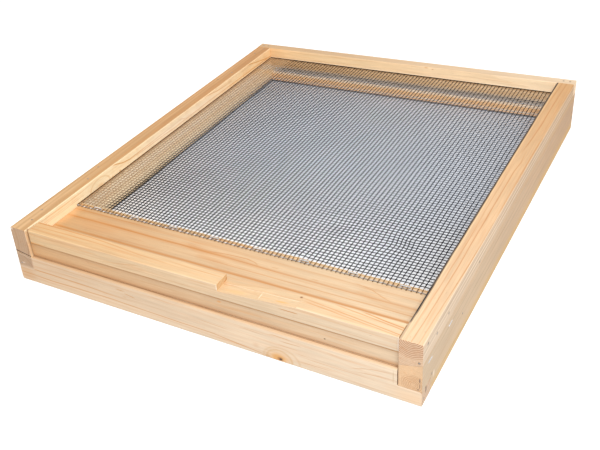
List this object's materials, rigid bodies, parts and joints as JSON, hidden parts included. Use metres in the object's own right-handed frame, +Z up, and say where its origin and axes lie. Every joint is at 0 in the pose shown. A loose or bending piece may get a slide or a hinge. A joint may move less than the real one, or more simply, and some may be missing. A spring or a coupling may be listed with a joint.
{
  "type": "screened bottom board",
  "caption": "Wooden hive floor: stacked rails round a wire screen, a landing board, a sliding entrance strip with a bee gate, and a tray that pulls out at the back.",
  "frame": {"origin": "middle of the footprint, on the surface that the board stands on", "axes": "+Z up, -Y towards the bee entrance, +X to the right seen from the entrance"},
  "size_m": [0.4134, 0.505, 0.0614],
  "materials": {
    "rail_pine": "planed bare pine",
    "landing_pine": "planed bare pine",
    "reducer_pine": "planed bare pine",
    "galvanised_wire": "galvanised",
    "tray_plastic": "matte white sheet",
    "fastener_steel": "bright drawn wire"
  },
  "bodies": {
    "frame": {"front_rail": "rail_pine", "left_lower_rail": "rail_pine", "right_lower_rail": "rail_pine", "left_upper_rail": "rail_pine", "right_upper_rail": "rail_pine", "upper_back_rail": "rail_pine", "lower_back_rail": "rail_pine", "landing_board": "landing_pine", "screen_warp_wires": "galvanised_wire", "screen_weft_wires": "galvanised_wire", "left_rail_brads": "fastener_steel", "right_rail_brads": "fastener_steel", "front_corner_brads": "fastener_steel", "landing_brads": "fastener_steel", "upper_back_brads": "fastener_steel", "lower_back_brads": "fastener_steel", "landing_staples": "fastener_steel", "screen_staples": "fastener_steel"},
    "reducer": {"entrance_reducer": "reducer_pine"},
    "tray": {"slide_in_tray": "tray_plastic"}
  },
  "joints": [
    {"name": "reducer_slide", "type": "slide", "parent": "frame", "child": "reducer", "axis": [0, 1, 0], "range_m": [-0.024, 0.051]},
    {"name": "tray_slide", "type": "slide", "parent": "frame", "child": "tray", "axis": [0, 1, 0], "range_m": [0, 0.445]}
  ]
}
